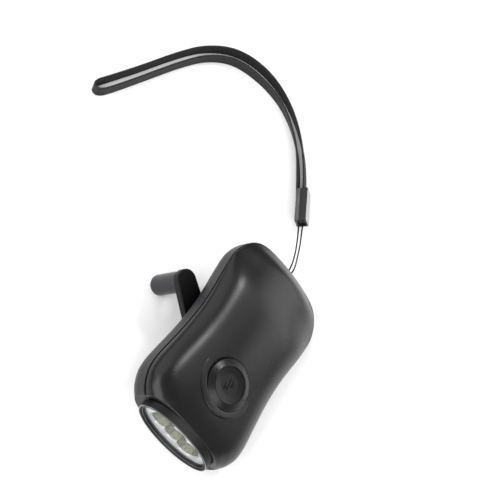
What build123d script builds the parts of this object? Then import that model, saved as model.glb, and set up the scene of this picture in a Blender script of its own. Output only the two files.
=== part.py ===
from build123d import *
import math
import os

# Hand crank flashlight, millimetres.
# Everything is drawn in the case's own axes first: x runs from the strap end to the light end,
# y runs across the case, z rises from the back (crank side) to the front (button side), with
# z = 0 on the parting line of the two shells. One last placement sets the object down as it
# rests: on the edge of its back and on the end of the crank knob.

# ------------------------------------------------------------------ driving dimensions
WALL = 1.8                # shell wall
BACK_DEPTH = 12.6         # parting line to the flat back
BACK_ROUND = 8.3          # round-over of the back's edge
FRONT_INSET = 0.35        # the front shell stands back from the back shell at the parting line
FRONT_ROUND = 5.4         # round-over of the front's edge
SEAM_LOW = -0.15          # top of the back shell's wall
SEAM_HIGH = 0.40          # bottom of the front shell's wall
LIGHT_END = 43.2          # end face of the case, behind the bezel ring
END_WALL = 1.8

BUTTON_U = 17.9           # centre of the push button
BUTTON_R = 10.65
BUTTON_TRAVEL = 1.2
PAD_R = 13.9              # round pad under the button
PAD_TILT = 1.5            # degrees; the pad stands proud towards the light

BEZEL_BACK = (19.6, 11.7, -0.8)    # half width, half height, height of centre at the case
BEZEL_FRONT = (19.7, 10.65, -1.45)  # the same at the lip
BEZEL_LIP = 46.3
LENS_FACE = 44.9
LED_PITCH = 8.1
LED_N = -1.4

HUB_U = 2.0               # crank axis
ARM_U, ARM_W = -16.5, -30.7   # hub to knob, across the case, as the crank stands
ARM_R = math.hypot(ARM_U, ARM_W)
ARM_ANG = math.degrees(math.atan2(ARM_W, ARM_U))
PIN_N = -16.7             # height of the fold pin and of the arm's middle
ARM_T = 3.6
KNOB_R = 4.65
KNOB_END = -36.4
KNOB_ROUND = 1.5

MODULE = 0.6
T_CRANK, T_PINION, T_GEAR = 40, 12, 36
IDLER_1 = (-11.267, 8.199)
IDLER_2 = (-11.0, -6.2)
ROTOR = (-22.0, -15.494)

REST_TILT = 25.79          # degrees about the case's length, as the object rests

os.makedirs("parts", exist_ok=True)


# ------------------------------------------------------------------ small helpers
def cyl(x, y, z0, z1, r):
    return Pos(x, y, (z0 + z1) / 2) * Cylinder(r, z1 - z0)


def box(x0, x1, y0, y1, z0, z1):
    return Pos((x0 + x1) / 2, (y0 + y1) / 2, (z0 + z1) / 2) * Box(x1 - x0, y1 - y0, z1 - z0)


def oval(x, a, b, c):
    return Plane(origin=(x, 0, c), x_dir=(0, 1, 0), z_dir=(1, 0, 0)) * Ellipse(a, b)


def oval_prism(x0, x1, a, b, c):
    return extrude(oval(x0, a, b, c), amount=x1 - x0)


def turned(points):
    """solid of revolution about the z axis from (radius, height) points"""
    w = Polyline([(r, 0, h) for r, h in points], close=True)
    return revolve(make_face(w), Axis.Z, 360)


def one(shape):
    s = shape.solids() if hasattr(shape, "solids") else [shape]
    return max(s, key=lambda q: q.volume)


# ------------------------------------------------------------------ case outline
# half outline, from the light end to the strap end: (along, half width)
HALF = [(47.0, 17.3), (45.2, 20.1), (43.3, 22.3), (40.9, 24.7), (38.2, 26.4), (35.0, 27.75), (31.0, 28.38), (26.5, 28.35),
        (20.8, 27.75), (14.5, 27.05), (8.3, 26.45), (2.0, 26.1), (-4.0, 26.02), (-10.0, 26.35), (-16.0, 26.95),
        (-22.0, 27.65), (-27.5, 28.2), (-31.5, 28.38), (-35.2, 27.9), (-38.6, 26.75), (-41.8, 25.0), (-44.8, 22.4),
        (-47.0, 18.9), (-48.3, 14.6), (-49.0, 9.6), (-49.35, 4.8), (-49.45, 0.0)]


def outline(inset, end):
    pts = [(u, w) for u, w in HALF] + [(u, -w) for u, w in reversed(HALF[:-1])]
    out = []
    for i, (u, w) in enumerate(pts):
        a = pts[max(i - 1, 0)]
        b = pts[min(i + 1, len(pts) - 1)]
        tu, tw = b[0] - a[0], b[1] - a[1]
        L = math.hypot(tu, tw)
        nu, nw = -tw / L, tu / L
        # outward normal of a path that runs +w side, strap end, -w side
        if nu * (u - 0.0) + nw * w < 0:
            nu, nw = -nu, -nw
        out.append((u - inset * nu, w - inset * nw))
    edge = Spline([(u, w, 0) for u, w in out])
    face = make_face(Curve() + [edge, Line((out[-1][0], out[-1][1], 0), (out[0][0], out[0][1], 0))])
    trim = Pos(end - 60, 0, 0) * Rectangle(120, 120)
    return face & trim


# height of the front along the middle, and the radius of its crown across
CREST = [(-62, -7.5, 60), (-52, 0.6, 60), (-47.5, 3.3, 62), (-43.6, 5.0, 66), (-39.5, 6.7, 70), (-34, 8.1, 70), (-26, 9.2, 64),
         (-14, 9.9, 56), (0, 10.35, 50), (14, 10.6, 54), (24, 10.55, 60), (34, 10.25, 66), (44, 9.95, 66), (52, 9.7, 66)]


def crown(drop, half=36.0):
    secs = []
    for u, h, r in CREST:
        h = h - drop
        r = r - drop
        side = h - (r - math.sqrt(r * r - half * half))
        p0, p1, p2 = (u, -half, side), (u, 0, h), (u, half, side)
        lo = -40.0
        w = Wire([Line((u, -half, lo), p0), ThreePointArc(p0, p1, p2), Line(p2, (u, half, lo)), Line((u, half, lo), (u, -half, lo))])
        secs.append(make_face(w))
    return loft(secs)


def front_form(inset, drop, rnd, end):
    plan = extrude(Pos(0, 0, -9) * outline(inset, end), amount=30)
    body = one(plan & crown(drop))
    top = [e for e in body.edges() if e.center().Z > -8.5 and e.bounding_box().max.X < end + 1
           and not (e.bounding_box().min.X > end - 0.05)
           and (e.bounding_box().size.Z < 25) and e.length > 20]
    return body, top


def back_form(inset, depth, rnd, end):
    body = extrude(Pos(0, 0, -depth) * outline(inset, end), amount=depth + 6)
    low = [e for e in body.edges() if abs(e.center().Z + depth) < 1e-3 and not (e.bounding_box().min.X > end - 0.05)]
    return one(fillet(low, rnd))


def under(shape, z):
    return shape & box(-80, 80, -60, 60, -60, z)


def over(shape, z):
    return shape & box(-80, 80, -60, 60, z, 60)



def gear_face(teeth, add, ded, slack, turn, x=0.0, y=0.0):
    """involute spur gear outline; turn is the angle of one tooth's centre, radians"""
    pa = math.radians(20)
    rp = MODULE * teeth / 2
    rb, ra, rf = rp * math.cos(pa), rp + add, rp - ded
    half = math.pi / (2 * teeth) - slack / (2 * rp)
    r0 = max(rb, rf + 0.02)
    prof = []
    for i in range(3):
        r = r0 + (ra - r0) * i / 2
        a = math.acos(min(1.0, rb / r))
        prof.append((r, half + (math.tan(pa) - pa) - (math.tan(a) - a)))
    pts = []
    for k in range(teeth):
        c = 2 * math.pi * k / teeth + turn
        side = [(rf, c - prof[0][1])] + [(r, c - h) for r, h in prof] + [(r, c + h) for r, h in reversed(prof)]
        side += [(rf, c + prof[0][1])]
        pts += [(x + r * math.cos(a), y + r * math.sin(a)) for r, a in side]
    return make_face(Polyline(pts, close=True))


def spur(teeth, big, turn, at, z0, z1):
    f = gear_face(teeth, 0.44 if big else 0.55, 0.75 if big else 0.72, 0.12, turn, at[0], at[1])
    return extrude(Pos(0, 0, z0) * f, amount=z1 - z0)


def mesh_turn(c1, t1, z1, c2, z2):
    """tooth angle of gear 2 that puts it in mesh with gear 1"""
    th = math.atan2(c2[1] - c1[1], c2[0] - c1[0])
    p1 = ((th - t1) / (2 * math.pi / z1)) % 1.0
    return th + math.pi - (0.5 - p1) * 2 * math.pi / z2


parts = {}

# ------------------------------------------------------------------ the two shells
f_out, f_top = front_form(FRONT_INSET, 0, FRONT_ROUND, LIGHT_END)
f_out = one(fillet(f_top, FRONT_ROUND))
f_in, f_top2 = front_form(FRONT_INSET + WALL, WALL, FRONT_ROUND - WALL, LIGHT_END - END_WALL)
f_in = one(fillet(f_top2, FRONT_ROUND - WALL))
b_out = back_form(0, BACK_DEPTH, BACK_ROUND, LIGHT_END)
b_in = back_form(WALL, BACK_DEPTH - WALL, BACK_ROUND - WALL, LIGHT_END - END_WALL)

SLOT_B, SLOT_W = -44.7, 3.2                      # strap window in the back shell's end wall: inner end, half width
SLOT_N0 = -5.65                                  # foot of the window; its top is the front shell's edge
BAR_U, BAR_N, BAR_R = -48.3, -3.2, 0.75          # bar the cord loops round
SLOT_BLOCK = box(-60, -43.2, -5.0, 5.0, -40, 40)
LAMP = oval_prism(37.7, LIGHT_END + 1, 19.0, 10.0, -1.0)
SCREWS = [(31.0, 17.5), (31.0, -17.5), (-40.6, 8.8), (-40.6, -8.8)]
BOARD_POSTS = [(8.0, 12.0), (8.0, -12.0), (28.0, 12.0), (28.0, -12.0)]
KNOB_STOW = (HUB_U - ARM_R, 0.0)
STOW_TOP = 1.9

front = over(f_out, SEAM_HIGH) - over(f_in, SEAM_HIGH - 1)
f_space = over(f_out, SEAM_HIGH)                    # what posts may fill
# round pad under the button, raised towards the light
pivot = BUTTON_U - 11.5
tilt = Pos(pivot, 0, 10.5) * Rot(0, -PAD_TILT, 0) * Pos(-pivot, 0, -10.5)
pad = one((tilt * crown(0)) & cyl(BUTTON_U, 0, 7.0, 14, PAD_R))
front = front + pad
# guide tube round the button
front = front + (cyl(BUTTON_U, 0, 6.9, 20, BUTTON_R + 1.75) & f_space)
posts = Part() + [cyl(x, y, 0.05, 30, 2.5) for x, y in SCREWS] + [cyl(x, y, 1.8, 30, 2.0) for x, y in BOARD_POSTS]
front = front + (posts & over(f_out, 0.05)) + (SLOT_BLOCK & f_space)
front = front - cyl(BUTTON_U, 0, -5, 20, BUTTON_R + 0.22) - LAMP
for x, y in SCREWS:
    front = front - cyl(x, y, -1, 4.2 if x > 0 else 2.6, 1.02)
for x, y in BOARD_POSTS:
    front = front - cyl(x, y, 0, 5.2, 0.82)
parts["front_shell"] = one(front)

back = under(b_out, SEAM_LOW) - under(b_in, SEAM_LOW + 1)
b_space = under(b_out, SEAM_LOW)
# lip that closes the seam from inside
lip_a = extrude(Pos(0, 0, -1.6) * outline(WALL - 0.1, LIGHT_END - 1.0), amount=1.6 + SEAM_LOW)
lip_b = extrude(Pos(0, 0, -1.6) * outline(FRONT_INSET + WALL + 0.12, LIGHT_END - END_WALL - 0.1), amount=2.9)
lip_in = extrude(Pos(0, 0, -3) * outline(FRONT_INSET + WALL + 0.75, LIGHT_END - END_WALL - 1.0), amount=8)
lip = (lip_a + lip_b) - lip_in - box(-60, -43.0, -5.3, 5.3, -3, 8)
for x, y in SCREWS:
    lip = lip - cyl(x, y, -3, 8, 2.8)
lip = lip - parts["front_shell"].moved(Location((0, 0, -0.08)))    # clears the round-over inside the front
back = back + lip
towers = Part() + [cyl(x, y, -BACK_DEPTH, -0.05, 2.9) for x, y in SCREWS]
towers = towers + cyl(KNOB_STOW[0], 0, -BACK_DEPTH, STOW_TOP + 1.0, KNOB_R + 1.8)
towers = towers + (SLOT_BLOCK & under(b_out, SEAM_LOW)) + cyl(HUB_U, 0, -BACK_DEPTH, -10.8, 6.5)
back = back + (towers & (under(b_out, 0.0) + box(-60, -20, -8, 8, -0.2, 4)))
# strap window and the bar across it
bar = Pos(BAR_U, 0, BAR_N) * Rot(90, 0, 0) * Cylinder(BAR_R, 2 * SLOT_W + 0.4)
back = back - box(-60, SLOT_B, -SLOT_W, SLOT_W, SLOT_N0, 20) + bar
back = back - LAMP
for x, y in SCREWS:
    back = back - cyl(x, y, -30, -9.2, 2.5) - cyl(x, y, -10, 5, 1.15)
back = back - cyl(KNOB_STOW[0], 0, -30, STOW_TOP, KNOB_R + 0.65)
back = back - cyl(HUB_U, 0, -30, -5, 4.42)
for x, y in (IDLER_1, IDLER_2, ROTOR):
    back = back - cyl(x, y, -11.7, -10, 0.78)
back = back - (oval_prism(37.7, LIGHT_END + 1, 19.0, 10.0, -1.0))
parts["back_shell"] = one(back)

# ------------------------------------------------------------------ light end
bz = loft([oval(LIGHT_END + 0.1, *BEZEL_BACK).face(), oval(BEZEL_LIP, *BEZEL_FRONT).face()])
bz_edge = [e for e in bz.edges() if abs(e.center().X - BEZEL_LIP) < 1e-3]
bz = one(fillet(bz_edge, 0.45))
bz = bz + oval_prism(38.0, LIGHT_END + 0.2, 18.9, 9.9, -1.0)
bz = bz - oval_prism(37, 43.65, 17.85, 8.85, -1.1) - oval_prism(43.6, LENS_FACE, 18.15, 9.1, -1.15)
bz = bz - loft([oval(LENS_FACE - 0.05, 17.8, 8.8, -1.2).face(), oval(45.6, 18.0, 9.0, -1.3).face()])
bz = bz - loft([oval(45.55, 18.45, 9.4, -1.35).face(), oval(BEZEL_LIP + 0.2, 18.75, 9.7, -1.45).face()])
parts["bezel_ring"] = one(bz)
parts["lens"] = one(oval_prism(43.75, LENS_FACE - 0.05, 18.1, 9.05, -1.15))
parts["lens_gasket"] = one(oval_prism(43.42, 43.73, 17.8, 8.8, -1.1) - oval_prism(43, 44, 17.0, 8.0, -1.1))

led_at = (-LED_PITCH, 0.0, LED_PITCH)
refl = oval_prism(37.7, 43.4, 17.7, 8.7, -1.1)
for w in led_at:
    cone = Plane(origin=(43.5, w, LED_N), x_dir=(0, 1, 0), z_dir=(-1, 0, 0)) * Pos(0, 0, 2.95) * Cone(5.25, 3.0, 5.9)
    refl = refl - cone
parts["reflector"] = one(refl)
leds = []
for w in led_at:
    at = Plane(origin=(36.45, w, LED_N), x_dir=(0, 1, 0), z_dir=(1, 0, 0))
    led = at * (Pos(0, 0, 0.5) * Cylinder(2.9, 1.0) + Pos(0, 0, 2.2) * Cylinder(2.45, 3.6) + Pos(0, 0, 4.0) * Sphere(2.45))
    leds.append(one(led))
parts["leds"] = Compound(leds)
parts["led_board"] = one(oval_prism(35.2, 36.42, 16.3, 7.4, -1.1))

# ------------------------------------------------------------------ button and switch
parts["button"] = one(Pos(BUTTON_U, 0, 0) * turned([
    (0, 11.15), (4.5, 11.2), (6.9, 11.4), (7.25, 11.5), (7.35, 12.0), (7.75, 12.05), (8.1, 11.98), (10.35, 11.02), (10.65, 10.8),
    (10.65, 6.6), (11.8, 6.6), (11.8, 5.6), (9.4, 5.6), (9.4, 9.6), (2.2, 9.6), (2.2, 6.8), (0, 6.8)]))
parts["switch_plunger"] = one(cyl(BUTTON_U, 0, 4.1, 6.8, 1.55))
parts["switch_body"] = one(box(BUTTON_U - 3.5, BUTTON_U + 3.5, -3.5, 3.5, 1.8, 5.3) - cyl(BUTTON_U, 0, 2.7, 6, 1.7))
board = box(5.0, 30.6, -13.8, 13.8, 0.6, 1.8)
for x, y in BOARD_POSTS:
    board = board - cyl(x, y, 0, 3, 0.95)
parts["main_board"] = one(board)
chips = [box(24, 27.5, -4, 4, 1.8, 3.2), cyl(7.6, 5.5, 1.8, 4.0, 2.0), box(6.2, 9.2, -5, -1, 1.8, 2.9), box(12, 17, 9.5, 12, 1.8, 2.7)]
parts["board_components"] = Compound([one(c) for c in chips])

# ------------------------------------------------------------------ generator and gears
t_crank = math.radians(4.5)
t_i1 = mesh_turn((HUB_U, 0), t_crank, T_CRANK, IDLER_1, T_PINION)
t_i1g = 0.0
t_i2 = mesh_turn(IDLER_1, t_i1g, T_GEAR, IDLER_2, T_PINION)
t_i2g = 0.0
t_r = mesh_turn(IDLER_2, t_i2g, T_GEAR, ROTOR, T_PINION)
parts["crank_gear"] = one(spur(T_CRANK, True, t_crank, (HUB_U, 0), -10.4, -9.0) - cyl(HUB_U, 0, -20, 0, 2.42))
g1 = spur(T_PINION, False, t_i1, IDLER_1, -10.4, -8.7) + spur(T_GEAR, True, t_i1g, IDLER_1, -8.7, -7.5) + cyl(*IDLER_1, -7.5, -6.05, 1.5)
parts["idler_gear_1"] = one(g1 - cyl(*IDLER_1, -20, 0, 0.80))
g2 = spur(T_PINION, False, t_i2, IDLER_2, -8.7, -7.2) + spur(T_GEAR, True, t_i2g, IDLER_2, -7.2, -6.2) + cyl(*IDLER_2, -10.4, -8.7, 1.5)
parts["idler_gear_2"] = one(g2 - cyl(*IDLER_2, -20, 0, 0.80))
parts["rotor_pinion"] = one(spur(T_PINION, False, t_r, ROTOR, -7.4, -6.0) + cyl(*ROTOR, -11.5, 1.7, 0.72))
parts["rotor_magnet"] = one(cyl(*ROTOR, -3.6, 0.9, 6.0) - cyl(*ROTOR, -10, 5, 0.73))
can = cyl(*ROTOR, -4.9, 1.9, 8.5) - cyl(*ROTOR, -4.3, 1.3, 7.9) - cyl(*ROTOR, -6, 3, 0.78)
parts["stator_can"] = one(can)
parts["stator_coil"] = one(cyl(*ROTOR, -4.0, 1.1, 7.8) - cyl(*ROTOR, -6, 3, 6.4))
GP = [(4.0, 17.0), (4.0, -17.0), (-24.6, -4.6), (-20.0, 20.0)]
plate = make_face(Polyline([(6.4, 19.2), (6.4, -19.2), (-6, -21), (-13.2, -18.6), (-14.6, -10.0), (-26.6, -6.4), (-26.4, -2.6), (-22.3, 22.2)], close=True))
plate = extrude(Pos(0, 0, -5.9) * plate, amount=1.0)
plate = plate + (Part() + [cyl(x, y, -9.7 if y > 18 else -10.78, -5.5, 1.6) for x, y in GP])
plate = plate + (cyl(*ROTOR, -5.9, -4.92, 5.0) - cyl(*ROTOR, -8, 0, 2.2))
plate = plate - cyl(*IDLER_1, -8, 0, 0.745) - cyl(*IDLER_2, -8, 0, 0.745) - cyl(*ROTOR, -8, 0, 2.2) - cyl(HUB_U, 0, -8, 0, 3.6)
for x, y in GP:
    plate = plate - cyl(x, y, -9.0, 0, 0.82)
parts["gear_plate"] = one(plate)
parts["gear_axles"] = Compound([one(cyl(x, y, -11.65, -5.0, 0.74)) for x, y in (IDLER_1, IDLER_2)])
sc = [one(cyl(x, y, -4.88, -3.9, 1.6) + cyl(x, y, -8.8, -4.6, 0.8)) for x, y in GP]
sc += [one(cyl(x, y, -0.5, 0.58, 1.6) + cyl(x, y, 0.3, 5.0, 0.8)) for x, y in BOARD_POSTS]
parts["board_screws"] = Compound(sc)


def case_screw(x, y):
    top = 4.0 if x > 0 else 2.4
    s = cyl(x, y, -11.0, -9.22, 2.3) + cyl(x, y, -9.4, top, 1.0)
    s = s - box(x - 1.5, x + 1.5, y - 0.25, y + 0.25, -11.5, -10.2) - box(x - 0.25, x + 0.25, y - 1.5, y + 1.5, -11.5, -10.2)
    return one(s)


parts["case_screws"] = Compound([case_screw(x, y) for x, y in SCREWS])

# ------------------------------------------------------------------ battery
BAT = (14.5, -4.2)
ax = Plane(origin=(-37.2, BAT[0], BAT[1]), x_dir=(0, 1, 0), z_dir=(1, 0, 0))
parts["battery_cells"] = Compound([one(ax * Pos(0, 0, 2.0 + 4.05 * i) * Cylinder(5.5, 3.95)) for i in range(3)])
clip = ax * (Pos(0, 0, 6.05) * Cylinder(5.72, 11.9) - Pos(0, 0, 6.05) * Cylinder(5.55, 14)) - box(-45, -20, 5, 25, -2.6, 8)
parts["battery_clip"] = one(clip)

# ------------------------------------------------------------------ crank
# drawn with the arm along +x from the hub at the origin, then turned to the crank's angle
crank_at = Pos(HUB_U, 0, 0) * Rot(0, 0, ARM_ANG)
hub = cyl(0, 0, -14.2, -12.85, 8.2) + cyl(0, 0, -13.5, -9.05, 3.0) + cyl(0, 0, -9.3, -8.85, 2.38)
hub = cyl(0, 0, -14.2, -12.85, 8.2) + cyl(0, 0, -13.5, -10.42, 3.0) + cyl(0, 0, -11, -8.85, 2.38)
cheeks = box(-2.6, 3.4, -6.4, -4.15, PIN_N, -14.0) + box(-2.6, 3.4, 4.15, 6.4, PIN_N, -14.0)
cheeks = cheeks + Pos(0.4, -5.275, PIN_N) * Rot(90, 0, 0) * Cylinder(3.0, 2.25) + Pos(0.4, 5.275, PIN_N) * Rot(90, 0, 0) * Cylinder(3.0, 2.25)
hub = hub + (cheeks & box(-9, 9, -9, 9, -19.8, -14.0))
hub = hub - Pos(0.4, 0, PIN_N) * Rot(90, 0, 0) * Cylinder(1.27, 20) - cyl(0, 0, -13.2, -5, 0.82)
parts["crank_hub"] = one(crank_at * hub)
parts["hub_screw"] = one(crank_at * (cyl(0, 0, -8.83, -7.6, 2.6) + cyl(0, 0, -12.8, -8.5, 0.8) - box(-1.7, 1.7, -0.25, 0.25, -8.1, -7)))
parts["fold_pin"] = one(crank_at * (Pos(0.4, 0, PIN_N) * Rot(90, 0, 0) * Cylinder(1.25, 13.4)))
arm_plan = make_face(Polyline([(4.0, -6.9), (ARM_R, -5.1), (ARM_R, 5.1), (4.0, 6.9)], close=True))
arm = extrude(Pos(0, 0, PIN_N - ARM_T / 2) * arm_plan, amount=ARM_T)
arm = arm + cyl(ARM_R, 0, PIN_N - ARM_T / 2, PIN_N + ARM_T / 2, 5.12)
arm = arm - box(-5, 4.6, -10, 10, -30, 0)
ends = [e for e in arm.edges() if abs(abs(e.center().Z - PIN_N) - ARM_T / 2) < 1e-3 and e.center().X > 5.0]
try:
    arm = fillet(ends, 0.6)
except Exception as err:
    print("arm edge left sharp", err)
arm = arm + box(0.4, 6.0, -3.95, 3.95, PIN_N - ARM_T / 2, PIN_N + ARM_T / 2) + Pos(0.4, 0, PIN_N) * Rot(90, 0, 0) * Cylinder(1.8 + 0.45, 7.9)
arm = arm - Pos(0.4, 0, PIN_N) * Rot(90, 0, 0) * Cylinder(1.31, 20)
arm = arm - cyl(ARM_R, 0, -30, PIN_N + ARM_T / 2 - 0.8, 1.22)
parts["crank_arm"] = one(crank_at * arm)
pin = cyl(ARM_R, 0, PIN_N - 15.0, PIN_N + ARM_T / 2 - 0.85, 1.2) + cyl(ARM_R, 0, PIN_N - 15.6, PIN_N - 14.9, 2.1)
parts["knob_pin"] = one(crank_at * pin)
k0 = PIN_N - ARM_T / 2 - 0.15
kr = turned([(1.27, k0), (KNOB_R - 0.5, k0), (KNOB_R, k0 - 0.5), (KNOB_R, KNOB_END + KNOB_ROUND),
             (KNOB_R - 0.2, KNOB_END + 0.75), (KNOB_R - 0.44, KNOB_END + 0.44), (KNOB_R - 0.75, KNOB_END + 0.2),
             (KNOB_R - KNOB_ROUND, KNOB_END), (0, KNOB_END), (0, PIN_N - 16.2), (2.3, PIN_N - 16.2), (2.3, PIN_N - 14.8), (1.27, PIN_N - 14.8)])
parts["crank_knob"] = one(crank_at * Pos(ARM_R, 0, 0) * kr)
parts["hub_bush"] = one(cyl(HUB_U, 0, -12.75, -10.6, 4.4) - cyl(HUB_U, 0, -20, 0, 3.04))


# ------------------------------------------------------------------ wires
def tube(points, radii, d):
    path = FilletPolyline(*points, radius=radii)
    start = path @ 0
    tan = path % 0
    sec = Plane(origin=start, z_dir=tan) * Circle(d / 2)
    return sweep(sec, path=path), path.length


wires = []
for pts, rr in (
    ([(-24.9, 12.5, 0.2), (-16, 16, -1.2), (-2, 15, -1.2), (6.2, 8.4, -0.1)], [3, 3]),
    ([(-24.9, 16.5, 0.2), (-15, 18.4, -1.2), (-1, 17.2, -1.2), (5.62, 13.2, -0.1)], [3, 3]),
    ([(-13.4, -14.0, -1.0), (-6, -13.6, -1.5), (0, -9.6, -1.5), (6.6, -5.6, -0.1)], [3, 3]),
    ([(-13.4, -17.0, -1.0), (-6, -16.6, -1.5), (1, -12.4, -1.5), (8.8, -6.4, -0.1)], [3, 3]),
    ([(35.1, 3.0, -4.0), (31.5, 3.2, -3.0), (29.0, 4.0, -0.1)], [2]),
    ([(35.1, -3.0, -4.0), (31.5, -3.2, -3.0), (29.0, -4.0, -0.1)], [2]),
):
    solid, _ = tube(pts, rr, 1.1)
    wires.append(one(solid))
parts["wires"] = Compound(wires)

# ------------------------------------------------------------------ wrist strap
# drawn as it lies: +x across, +y away from the light, z up from the table, mm, before the last shift
tilt_r = math.radians(REST_TILT)
LIFT = 20.934


def lying(u, w, n):
    return (w * math.cos(tilt_r) + n * math.sin(tilt_r), -u, -w * math.sin(tilt_r) + n * math.cos(tilt_r) + LIFT)


CORD_D = 1.1
CORD = [(-8.9, 89.6, 3.1), (-6.1, 82.9, 3.2), (-3.2, 73.8, 6.3), (-1.4, 64.0, 12.0), (0.25, 55.0, 17.4), lying(-50.2, 1.25, -1.6),
        lying(-46.75, 1.25, -1.75), lying(-46.75, 1.05, -4.65), lying(-50.2, 1.05, -4.8), (-2.0, 55.4, 14.9), (-3.2, 63.9, 11.2),
        (-4.9, 73.0, 6.5), (-7.3, 81.2, 3.5), (-10.5, 87.9, 3.1)]
BAND_W, BAND_T = 6.0, 1.0
BAND = [(-13.3, 97.9), (-18.7, 108.9), (-30.0, 125.4), (-46.2, 140.1), (-65.1, 148.7), (-84.5, 148.2), (-98.3, 136.9),
        (-106.6, 121.2), (-113.9, 103.6), (-121.6, 87.0), (-126.1, 78.0), (-121.0, 75.65), (-116.3, 85.0), (-108.9, 102.3),
        (-101.6, 119.6), (-93.9, 133.6), (-82.2, 142.6), (-64.0, 142.6), (-47.8, 136.7), (-32.3, 123.3), (-21.9, 107.4),
        (-15.96, 96.57)]
BAND = [(x, y, BAND_W / 2 + 0.05) for x, y in BAND]
FERRULE = ((-16.5, 101.9), (-7.6, 84.5))
FERRULE_W, FERRULE_H = 7.0, 6.4


def bends(points, cap):
    """radius of the arc at each inner point"""
    out = []
    for a, b, c in zip(points, points[1:], points[2:]):
        p, q = Vector(*b) - Vector(*a), Vector(*c) - Vector(*b)
        t = math.acos(max(-1, min(1, p.dot(q) / p.length / q.length)))
        out.append(min(cap, 0.45 * min(p.length, q.length) / math.tan(t / 2)))
    return out


cord_r = bends(CORD, 60.0)
cord_path = FilletPolyline(*CORD, radius=cord_r)
cord = sweep(Plane(origin=cord_path @ 0, z_dir=cord_path % 0) * Circle(CORD_D / 2), path=cord_path)
band_r = bends(BAND, 200.0)
band_path = FilletPolyline(*BAND, radius=band_r)
band = sweep(Plane(origin=band_path @ 0, x_dir=(0, 0, 1), z_dir=band_path % 0) * Rectangle(BAND_W, BAND_T), path=band_path)
print("cord length %.1f volume share %.3f radii %s" % (cord_path.length, cord.volume / (math.pi * CORD_D ** 2 / 4 * cord_path.length), [round(r, 1) for r in cord_r]))
print("band length %.1f volume share %.3f radii %s" % (band_path.length, band.volume / (BAND_W * BAND_T * band_path.length), [round(r, 1) for r in band_r]))
(fx0, fy0), (fx1, fy1) = FERRULE
f_len = math.hypot(fx1 - fx0, fy1 - fy0)
f_at = Plane(origin=((fx0 + fx1) / 2, (fy0 + fy1) / 2, FERRULE_H / 2 + 0.02), x_dir=((fx1 - fx0) / f_len, (fy1 - fy0) / f_len, 0), z_dir=(0, 0, 1))
fer = Box(f_len, FERRULE_W, FERRULE_H)
fer = fillet(fer.edges().filter_by(Axis.X), 1.3)
fer = fer - Pos(0, 0.2, FERRULE_H / 2) * Box(30, 0.8, 1.0)
fer = f_at * fer
fer = one(fer - band - cord)
soft = {"strap_cord": one(cord), "strap_band": one(band), "strap_ferrule": fer}

# ------------------------------------------------------------------ set down as it rests
seat = Plane(origin=(0, 0, 0), x_dir=(0, -1, 0), z_dir=(math.sin(tilt_r), 0, math.cos(tilt_r))).location
placed = {n: p.moved(seat) for n, p in parts.items()}
boxes = [p.bounding_box() for p in placed.values()]
lo = [min(getattr(b.min, k) for b in boxes) for k in "XYZ"]
hi = [max(getattr(b.max, k) for b in boxes) for k in "XYZ"]
print("lift", round(-lo[2], 4), "sizes", [round(b - a, 3) for a, b in zip(lo, hi)])
SHIFT = (-(lo[0] + hi[0]) / 2, -(lo[1] + hi[1]) / 2, -lo[2])
placed = {n: p.moved(Location(SHIFT)) for n, p in placed.items()}
placed.update({n: p.moved(Location((SHIFT[0], SHIFT[1], 0))) for n, p in soft.items()})
print("shift", [round(v, 4) for v in SHIFT])
for n in ("back_shell", "crank_knob"):
    print(n, "lowest", round(placed[n].bounding_box().min.Z, 3))
for name, pts in (("cord", CORD), ("band", BAND)):
    print(name, [tuple(round(v + d, 3) for v, d in zip(p, (SHIFT[0], SHIFT[1], 0))) for p in pts])

for n, p in placed.items():
    export_step(p, "parts/%s.step" % n)
print(len(placed), "nodes")
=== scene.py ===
import bpy
import bmesh
import math
import numpy as np
from mathutils import Matrix, Vector


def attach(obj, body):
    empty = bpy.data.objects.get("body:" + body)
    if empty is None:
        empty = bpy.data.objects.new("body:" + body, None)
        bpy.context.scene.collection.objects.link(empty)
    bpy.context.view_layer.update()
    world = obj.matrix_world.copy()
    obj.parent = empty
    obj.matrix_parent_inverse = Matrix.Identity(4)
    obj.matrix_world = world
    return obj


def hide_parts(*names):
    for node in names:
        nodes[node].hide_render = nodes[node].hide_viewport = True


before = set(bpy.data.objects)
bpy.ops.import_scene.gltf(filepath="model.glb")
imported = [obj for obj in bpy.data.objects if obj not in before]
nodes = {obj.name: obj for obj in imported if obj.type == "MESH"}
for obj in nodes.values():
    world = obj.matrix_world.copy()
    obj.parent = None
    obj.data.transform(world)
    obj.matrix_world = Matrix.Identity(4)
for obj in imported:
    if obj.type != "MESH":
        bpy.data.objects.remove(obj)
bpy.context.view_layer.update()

MM = 0.001
TILT = math.radians(25.79)
SH = (10.5801, -1.5543, 20.9343)
S, C = math.sin(TILT), math.cos(TILT)


def B(u, w, n):
    """a point of the flashlight's own frame, mm (u to the light, w across, n out of the front), in the row frame, m"""
    return Vector(((w * C + n * S + SH[0]) * MM, (-u + SH[1]) * MM, (-w * S + n * C + SH[2]) * MM))


def D(u, w, n):
    return Vector((w * C + n * S, -u, -w * S + n * C))


# ---------------------------------------------------------------- camera
cam_data = bpy.data.cameras.new("cam")
cam_data.sensor_width = 36.0
cam_data.lens = 78.36
cam_data.clip_start = 0.01
cam_data.clip_end = 20
cam = bpy.data.objects.new("cam", cam_data)
bpy.context.scene.collection.objects.link(cam)
right = D(-0.49964, 0.56908, 0.65307).normalized()
back = D(0.54569, -0.37873, 0.74752).normalized()
up = back.cross(right).normalized()
right = up.cross(back).normalized()
eye = B(215.255, -199.738, 348.749)
m = Matrix.Identity(4)
for i in range(3):
    m[i][0], m[i][1], m[i][2], m[i][3] = right[i], up[i], back[i], eye[i]
cam.matrix_world = m
bpy.context.scene.camera = cam


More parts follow.
